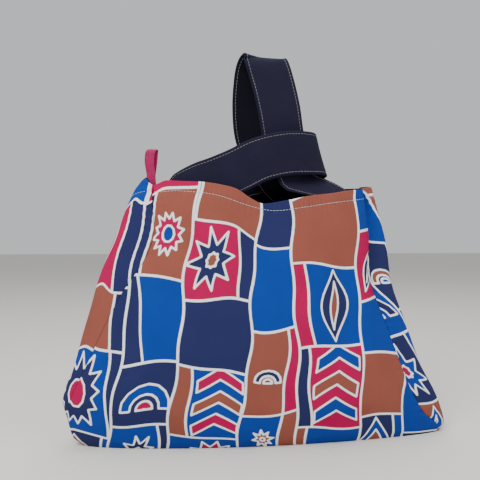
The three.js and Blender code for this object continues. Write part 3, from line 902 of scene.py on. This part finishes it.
# The dark lining: one ring of wall, open at the rim, whose floor rows meet along the middle line. Its
# wall is the bag's, pushed in by the outer cloth, the gap and the lining's own thickness.
def makeLining():
    k = liningShape["coarse"]
    columns = liningShape["columns"]
    around = -180 + 360 * np.arange(columns + 1)[None, :] / columns
    outer = body["cloth"] + body["gap"]
    inner = outer + body["lining"]

    def rings(inset, floor, wallRows, baseRows, columnStep):
        angles = around[:, ::columnStep]
        share = np.linspace(0, 1, wallRows + 1)[:, None]
        height = floor + (rimHeight(angles) - floor) * share
        wall = wallPoint(angles + 0 * share, height, inset)
        wall[..., 2] += (liningProud(angles) - body["lining"] / 2) * smoothStep(share, 0.9, 1)
        middleLine = wall[0] * [liningShape["middle"], 0, 1]
        middleLine = (middleLine + middleLine[::-1]) / 2
        baseShare = np.linspace(0, 1, baseRows, endpoint=False)[:, None, None]
        return np.concatenate([middleLine[None] + (wall[0] - middleLine)[None] * baseShare, wall])

    shown = rings(inner, inner, liningShape["wallRows"], liningShape["baseRows"], 1)
    radius = body["lining"] / 2
    turnAngle = np.linspace(0, np.pi, liningShape["rollRows"] + 1)[1:, None]
    top = np.repeat(around, liningShape["rollRows"], 0)
    roll = wallPoint(top, rimHeight(top), inner - radius * (1 - np.cos(turnAngle)))
    roll[..., 2] += radius * (np.sin(turnAngle) - 1) + liningProud(top)
    shown = np.concatenate([shown, roll])
    hidden = rings(outer, outer, liningShape["wallRows"] // k, liningShape["baseRows"] // k, k)
    rows = len(shown)
    fine = np.arange(rows * (columns + 1)).reshape(rows, columns + 1)
    fine[:, -1] = fine[:, 0]
    mirror = np.minimum(np.arange(columns + 1), columns - np.arange(columns + 1))
    fine[0] = fine[0][mirror]
    coarse = fine.size + np.arange(hidden.shape[0] * hidden.shape[1]).reshape(hidden.shape[:2])
    coarse[:, -1] = coarse[:, 0]
    mirror = np.minimum(np.arange(coarse.shape[1]), coarse.shape[1] - 1 - np.arange(coarse.shape[1]))
    coarse[0] = coarse[0][mirror]
    points = np.concatenate([shown.reshape(-1, 3), hidden.reshape(-1, 3)])
    rim = zipBorders(fine[-1], coarse[-1], k)[:, ::-1]
    faces = [gridFaces(fine)[:, ::-1], gridFaces(coarse), rim]
    used = np.unique(np.concatenate([f.ravel() for f in faces]))
    renumber = np.full(len(points), -1)
    renumber[used] = np.arange(len(used))
    flat = np.concatenate([flatCoordinates(grid, -1).reshape(-1, 2) for grid in (shown, hidden)])
    return makeObject("lining_cloth", points[used], [renumber[f] for f in faces], flat[used], [darkCotton])


liningCloth = makeLining()
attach(liningCloth, "root")
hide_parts("lining")
print("lining made")

# Both straps' sizes: how far they are sewn down, how high and wide their loops are, their grid, and the
# topstitching with the groove and the ripples that it pulls into the edges
straps = {
    "width": 45,
    "thickness": 3,
    "seat": 30,
    "sewnFrom": 0.5,
    "sewnTo": 1.7,
    "longRise": 129,
    "longSeats": (-46, 44),
    "shortRise": 27,
    "shortSeats": (-130, 137),
    "reach": 64,
    "spread": 24,
    "stations": 260,
    "across": 28,
    "stitchInset": 3.6,
    "stitch": (3.3, 2.8, 0.3),
    "stitchLift": 0.1,
    "edgePuff": 0.35,
    "grooveWidth": 0.9,
    "ripple": 0.12,
    "ripplePitch": 5.3,
    "rippleReach": 5,
}
edgeAngles = (60, 30, 0, -30, -60)

# Centre lines of the loops: side, deep, up, lean
longLine = np.array([
    (1.2, -0.66, -0.17, 12), (0.79, -0.56, -0.11, 16), (0.62, -0.46, -0.02, 20), (0.54, -0.42, 0.083, 20),
    (0.49, -0.42, 0.18, 14), (0.365, -0.43, 0.35, 5), (0.285, -0.44, 0.58, 0), (0.18, -0.42, 0.8, 0),
    (0.085, -0.33, 0.95, 0), (0.045, 0, 1, 10), (0, 0.2, 0.98, 14), (-0.05, 0.34, 0.925, 14),
    (-0.085, 0.43, 0.78, 10), (-0.09, 0.48, 0.6, 4), (-0.05, 0.44, 0.4, -4), (0.06, 0.36, 0.24, -8),
    (0.22, 0.34, 0.1, -12), (0.42, 0.4, -0.025, -12), (0.78, 0.52, -0.11, -12), (1.24, 0.68, -0.15, -12),
])
shortLine = np.array([
    (-1.62, -0.46, -0.88, 0), (-1.34, -0.7, -0.56, 0), (-1.06, -0.84, -0.26, 0), (-0.74, -0.97, 0, 0),
    (-0.42, -1, 0.32, 0), (-0.05, -1, 0.75, 0), (0.36, -0.98, 0.99, -4), (0.7, -0.82, 1.05, -12),
    (0.93, -0.45, 1.05, -15), (1, 0, 1, -16), (0.92, 0.45, 0.9, -17), (0.66, 0.82, 0.74, -18),
    (0.26, 1, 0.5, -14), (-0.2, 1.02, 0.22, -8), (-0.7, 1, -0.1, -4), (-1.2, 0.9, -0.5, 0),
    (-1.55, 0.76, -1, 0),
])


# A centripetal Catmull-Rom curve through the points, with the share of its knots at each sample
def smoothCurve(points, perSpan=40):
    padded = np.concatenate([[2 * points[0] - points[1]], points, [2 * points[-1] - points[-2]]])
    samples = []
    for i in range(len(points) - 1):
        p0, p1, p2, p3 = padded[i:i + 4]
        d0, d1, d2 = [np.sqrt(np.linalg.norm(q - p)) for p, q in ((p0, p1), (p1, p2), (p2, p3))]
        t1 = ((p1 - p0) / d0 - (p2 - p0) / (d0 + d1) + (p2 - p1) / d1) * d1
        t2 = ((p2 - p1) / d1 - (p3 - p1) / (d1 + d2) + (p3 - p2) / d2) * d1
        t = np.linspace(0, 1, perSpan, endpoint=False)[:, None]
        cubic = 2 * p1 - 2 * p2 + t1 + t2
        samples.append(p1 + t1 * t + (-3 * p1 + 3 * p2 - 2 * t1 - t2) * t**2 + cubic * t**3)
    return np.concatenate(samples + [points[-1:]]), np.arange((len(points) - 1) * perSpan + 1) / perSpan


# Evenly spaced points of a curve, their places among its knots, and the length between the ends
def evenly(points, places, count):
    steps = np.linalg.norm(np.diff(points, axis=0), axis=1)
    length = np.concatenate([[0], np.cumsum(steps)])
    at = np.linspace(0, length[-1], count + 1)
    even = np.stack([np.interp(at, length, points[:, axis]) for axis in range(3)], -1)
    return even, np.interp(at, length, places), length[-1]


# The middle face of a strap as a grid: middle line + width * share across, blended at both ends onto a
# band that lies on the lining's wall round its seat
def strapGrid(line, rise, upright, seats):
    knots = np.stack([line[:, 0] * straps["reach"], line[:, 1] * straps["spread"],
                      body["height"] + line[:, 2] * rise], -1)
    middle, places, length = evenly(*smoothCurve(knots), straps["stations"])
    tangent = unit(np.gradient(middle, axis=0))
    lean = np.radians(np.interp(places, np.arange(len(line)), line[:, 3]))
    none = np.zeros(len(lean))
    if upright:
        width = np.stack([np.sin(lean), none, np.cos(lean)], -1)
    else:
        width = np.stack([np.cos(lean), np.sin(lean), none], -1)
    width = unit(width - tangent * (width * tangent).sum(1, keepdims=True))
    t = np.linspace(0, 1, straps["stations"] + 1)
    nearFront = t < 0.5
    fromEnd = np.minimum(t, 1 - t) * length
    sewn = 1 - smoothStep(fromEnd, straps["seat"] * straps["sewnFrom"], straps["seat"] * straps["sewnTo"])
    seat = np.where(nearFront, seats[0], seats[1])
    flip = np.where(nearFront, -1, 1) if upright else np.where(nearFront, 1, -1)
    offset = np.linspace(-0.5, 0.5, straps["across"] + 1)[None, :] * straps["width"]
    free = middle[:, None] + width[:, None] * offset[..., None]
    height = np.minimum(rimHeight(seat) - straps["seat"] + fromEnd, body["height"])
    rate = wallRate(seat, np.full(len(seat), float(body["height"])))
    around = seat[:, None] + offset * flip[:, None] / rate[:, None]
    inset = body["cloth"] + body["gap"] + body["lining"] + body["sewn"] + straps["thickness"] / 2
    flat = wallPoint(around, height[:, None] + 0 * around, inset, 0)
    return free + (flat - free) * sewn[:, None, None], length


# A closed band from its middle face: each face lies half a thickness along the normal, less a groove of
# puff * exp(-(distance from the stitches / width)^2), and the edges are half circles
def bandObject(name, grid, thickness, width, length, material, puff, inner=0):
    rows, columns = grid.shape[:2]
    along = np.gradient(grid, axis=0)
    across = np.gradient(grid, axis=1)
    normal = unit(np.cross(along, across))
    sideways = unit(across)
    c = np.linspace(-0.5, 0.5, columns)
    fromEdge = (0.5 - np.abs(c)) * width
    groove = np.exp(-((fromEdge - straps["stitchInset"]) / straps["grooveWidth"]) ** 2)
    half = thickness / 2 - puff * groove
    t = np.arange(rows) / (rows - 1) * length
    wave = straps["ripple"] * np.sin(2 * np.pi * t / straps["ripplePitch"])
    ripple = wave[:, None] * np.exp(-(fromEdge / straps["rippleReach"]) ** 2)
    radius = thickness / 2
    inward = np.where(np.arange(columns) == 0, 1, np.where(np.arange(columns) == columns - 1, -1, 0)) * radius
    face = grid + sideways * inward[None, :, None]
    top = face + normal * (half[None, :, None] + ripple[..., None])
    under = face - normal * (half[None, :, None] - ripple[..., None])
    n = len(edgeAngles)
    rounds = []
    for edge, sign in ((-1, 1), (0, -1)):
        for angle in edgeAngles:
            out, up = sign * math.cos(math.radians(angle)), math.sin(math.radians(angle))
            rounds.append(face[:, edge] + (sideways[:, edge] * out + normal[:, edge] * up) * radius)
    ring = np.concatenate([top, np.stack(rounds[:n], 1), under[:, ::-1], np.stack(rounds[n:], 1)], 1)
    count = ring.shape[1]
    ids = np.arange(rows * count).reshape(rows, count)
    ids = np.concatenate([ids, ids[:, :1]], 1)
    caps = []
    for row, order in ((0, 1), (rows - 1, -1)):
        upper = ids[row, :columns]
        lower = ids[row, columns + n:2 * columns + n][::-1]
        strip = np.stack([upper[:-1], lower[:-1], lower[1:], upper[1:]], -1)
        caps.append(strip[:, ::-order])
        far = np.append(ids[row, 2 * columns + n - 1:-1], ids[row, 0])
        for loop in (ids[row, columns - 1:columns + n + 1], far):
            fan = np.stack([np.full(len(loop) - 2, loop[0]), loop[1:-1], loop[2:]], -1)
            caps.append(fan[:, ::order])
    across = np.concatenate([[0], np.cumsum(np.linalg.norm(np.diff(ring[rows // 2], axis=0), axis=1))])
    flat = np.stack(np.broadcast_arrays(across[None, :], t[:, None]), -1)
    faces = [gridFaces(ids)[:, ::-1]] + caps
    made = makeObject(name, ring.reshape(-1, 3), faces, flat.reshape(-1, 2), [material])
    # the inner face, on the side that inner gives, is marked for the painted shade
    paintedShade = np.zeros(ring.shape[:2])
    if inner:
        first = 0 if inner > 0 else columns + n
        paintedShade[:, first + 1:first + columns - 1] = 1
    addAttribute(made, "paintedShade", "FLOAT", paintedShade)
    return made, normal


# One stitch: rings along it as shares of its length, and their radius and height in radii of thread
beadRings = np.array([-0.5, -0.42, -0.2, 0.2, 0.42, 0.5])
beadRadius = np.array([0.35, 0.8, 1, 1, 0.8, 0.35])
beadHeight = np.array([-0.9, -0.2, 0.15, 0.15, -0.2, -0.9])
beadSides = 6


# Stitches of one run as a joined mesh: a short round bead of thread every pitch along a path, its ends
# sunk into the cloth
def stitchRun(path, normals, pitch, length, radius):
    steps = np.concatenate([[0], np.cumsum(np.linalg.norm(np.diff(path, axis=0), axis=1))])
    centres = np.arange(pitch, steps[-1] - pitch, pitch)
    at = centres[:, None] + beadRings[None, :] * length
    place = np.stack([np.interp(at, steps, path[:, axis]) for axis in range(3)], -1)
    normal = unit(np.stack([np.interp(at, steps, normals[:, axis]) for axis in range(3)], -1))
    tangent = unit(place[:, -1:] - place[:, :1])
    side = np.cross(normal, tangent + 0 * normal)
    place = place + normal * (beadHeight * radius)[None, :, None]
    angle = np.arange(beadSides) * 2 * np.pi / beadSides
    circle = np.cos(angle)[:, None] * side[:, :, None] + np.sin(angle)[:, None] * normal[:, :, None]
    points = place[:, :, None] + circle * (beadRadius * radius)[None, :, None, None]
    shape = (len(centres), len(beadRings), beadSides)
    ids = np.arange(np.prod(shape)).reshape(shape)
    wrapped = np.concatenate([ids, ids[:, :, :1]], 2)
    quads = np.stack([wrapped[:, :-1, :-1], wrapped[:, 1:, :-1], wrapped[:, 1:, 1:], wrapped[:, :-1, 1:]], -1)
    ends = np.concatenate([ids[:, 0], ids[:, -1, ::-1]])
    return points.reshape(-1, 3), quads.reshape(-1, 4)[:, ::-1], ends[:, ::-1]


# Several runs of stitches as one piece: their points one after another, face numbers moved to match
def stitchObject(name, runs, material):
    starts = np.cumsum([0] + [len(run[0]) for run in runs])
    points = np.concatenate([run[0] for run in runs])
    faces = [np.concatenate([run[k] + start for run, start in zip(runs, starts)]) for k in (1, 2)]
    made = makeObject(name, points, faces, None, [material])
    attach(made, "root")


# A strap with a row of stitches beside each edge, on both faces
def makeStrap(name, node, line, rise, upright, seats):
    grid, length = strapGrid(line, rise, upright, seats)
    # which face of the strap gets the painted shade
    inner = -1 if upright else 1
    made, normal = bandObject(name, grid, straps["thickness"], straps["width"], length, twillWebbing,
                              straps["edgePuff"], inner)
    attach(made, "root")
    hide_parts(node)
    column = int(round(straps["stitchInset"] / straps["width"] * straps["across"]))
    runs = []
    for edge in (column, straps["across"] - column):
        for face in (1, -1):
            lift = straps["thickness"] / 2 - straps["edgePuff"] + straps["stitchLift"]
            path = grid[:, edge] + normal[:, edge] * face * lift
            runs.append(stitchRun(path, normal[:, edge] * face, *straps["stitch"]))
    stitchObject(name + "_stitches", runs, strapThread)


makeStrap("long_strap", "long_handle", longLine, straps["longRise"], False, straps["longSeats"])
makeStrap("short_strap", "short_handle", shortLine, straps["shortRise"], True, straps["shortSeats"])
print("straps made")

# The tape tab: its tape, how high it stands and how deep it is sewn in, and its grid
tab = {"width": 10, "thickness": 1.2, "rise": 36, "seat": 14, "stations": 90, "across": 10}

# The tape tab's centre line: side, deep, up, lean
tabLine = np.array([
    (-0.4, 0.2, 0, 0), (-0.42, 0.22, 0.3, -28), (-0.56, 0.1, 0.7, -8), (-0.42, 0.1, 0.95, 0),
    (-0.2, 0.3, 1, 0), (-0.22, 0.5, 0.9, 0), (-0.3, 0.52, 0.6, -8), (-0.42, 0.5, 0.24, -28),
    (-0.4, 0.42, 0, 0),
])


# The tab: a band of tape along its centre line, which is measured from the top of the left side seam
def makeTab():
    seam = -180 + float(tableAt(sideSeams, 1, np.array(1.0)))
    rim = float(rimHeight(np.array(seam)))
    inset = body["cloth"] + body["gap"] + body["lining"] + body["sewn"] + tab["thickness"] / 2

    def seatAt(angle):
        return wallPoint(np.array(float(angle)), np.array(rim), inset, 0)

    foot = seatAt(seam)
    along = unit(seatAt(seam + 2) - seatAt(seam - 2))
    inward = np.array([-along[1], along[0], 0])
    knots = foot + along * tabLine[:, :1] * tab["width"] + inward * tabLine[:, 1:2] * tab["width"]
    knots[:, 2] = rim + tabLine[:, 2] * tab["rise"]
    first, last = knots[0].copy(), knots[-1].copy()
    first[2] = last[2] = rim - tab["seat"]
    middle, places, length = evenly(*smoothCurve(np.concatenate([[first], knots, [last]])), tab["stations"])
    leans = np.concatenate([tabLine[:1, 3], tabLine[:, 3], tabLine[-1:, 3]])
    lean = np.radians(np.interp(places, np.arange(len(leans)), leans))[:, None]
    width = along * np.cos(lean) + inward * np.sin(lean)
    offset = np.linspace(-0.5, 0.5, tab["across"] + 1)[None, :, None] * tab["width"]
    grid = middle[:, None] + width[:, None] * offset
    made, _ = bandObject("tape_tab", grid, tab["thickness"], tab["width"], length, crimsonTape, 0)
    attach(made, "root")
    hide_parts("side_tab")


makeTab()


# The hem's topstitching, outside on each panel along hemHeight and clear of the side seams
def makeHem():
    runs = []
    for around in (frontRim, backRim):
        between = around[2:-2]
        path = wallPoint(between, hemHeight(between), -0.05)
        across = unit(np.gradient(path, axis=0))
        normal = unit(np.stack([across[:, 1], -across[:, 0], 0 * across[:, 0]], -1))
        runs.append(stitchRun(path, normal, *hemShape["stitch"]))
    stitchObject("hem_stitches", runs, hemThread)


makeHem()
print("tab and hem made")

# The studio, in metres: a pale floor, soft daylight all round, and lamps by place, size and power
stage = {
    "floor": 8.0,
    "floorColour": "d9d6d0",
    "floorRough": 0.7,
    "sky": "e6e8ea",
    "skyStrength": 0.78,
    "aim": (0, 0, 0.2),
    "lamps": {
        "key": ((-0.5, -0.7, 1.05), 0.7, 15.5),
        "fill": ((0.85, -0.65, 0.85), 0.9, 4.5),
        "top": ((0.2, 0.5, 1.9), 1.6, 17),
    },
}


# A square floor at height 0, a plain sky, and area lamps that each face the aim
def makeStage():
    half = stage["floor"]
    mesh = bpy.data.meshes.new("floor")
    corners = [(-half, -half, 0), (half, -half, 0), (half, half, 0), (-half, half, 0)]
    mesh.from_pydata(corners, [], [(0, 1, 2, 3)])
    floor = bpy.data.objects.new("floor", mesh)
    bpy.context.scene.collection.objects.link(floor)
    material, _, shader = newMaterial("pale floor", stage["floorRough"], 0)
    shader.inputs["Base Color"].default_value = (*linear(stage["floorColour"]), 1)
    mesh.materials.append(material)
    world = bpy.data.worlds.new("soft room")
    world.use_nodes = True
    background = world.node_tree.nodes["Background"]
    background.inputs["Color"].default_value = (*linear(stage["sky"]), 1)
    background.inputs["Strength"].default_value = stage["skyStrength"]
    bpy.context.scene.world = world
    for name, (place, size, power) in stage["lamps"].items():
        data = bpy.data.lights.new(name, "AREA")
        data.size = size
        data.energy = power
        lamp = bpy.data.objects.new(name, data)
        lamp.location = place
        x, y, z = np.array(stage["aim"]) - np.array(place)
        lamp.rotation_euler = (math.atan2(math.hypot(x, y), -z), 0, math.atan2(x, -y) + math.pi)
        bpy.context.scene.collection.objects.link(lamp)


# The photograph's view: level, at 207 mm above the floor, seven degrees off the bag's front
cameraView = {"sensor": 36, "lens": 42.86, "place": (-0.0949, -0.5939, 0.207), "turn": -7}


# A level camera, its lens and sensor in mm and its place in metres
def makeCamera():
    data = bpy.data.cameras.new("camera")
    data.sensor_width = cameraView["sensor"]
    data.lens = cameraView["lens"]
    camera = bpy.data.objects.new("camera", data)
    camera.location = cameraView["place"]
    camera.rotation_euler = (math.radians(90), 0, math.radians(cameraView["turn"]))
    bpy.context.scene.collection.objects.link(camera)
    bpy.context.scene.camera = camera


makeStage()
makeCamera()
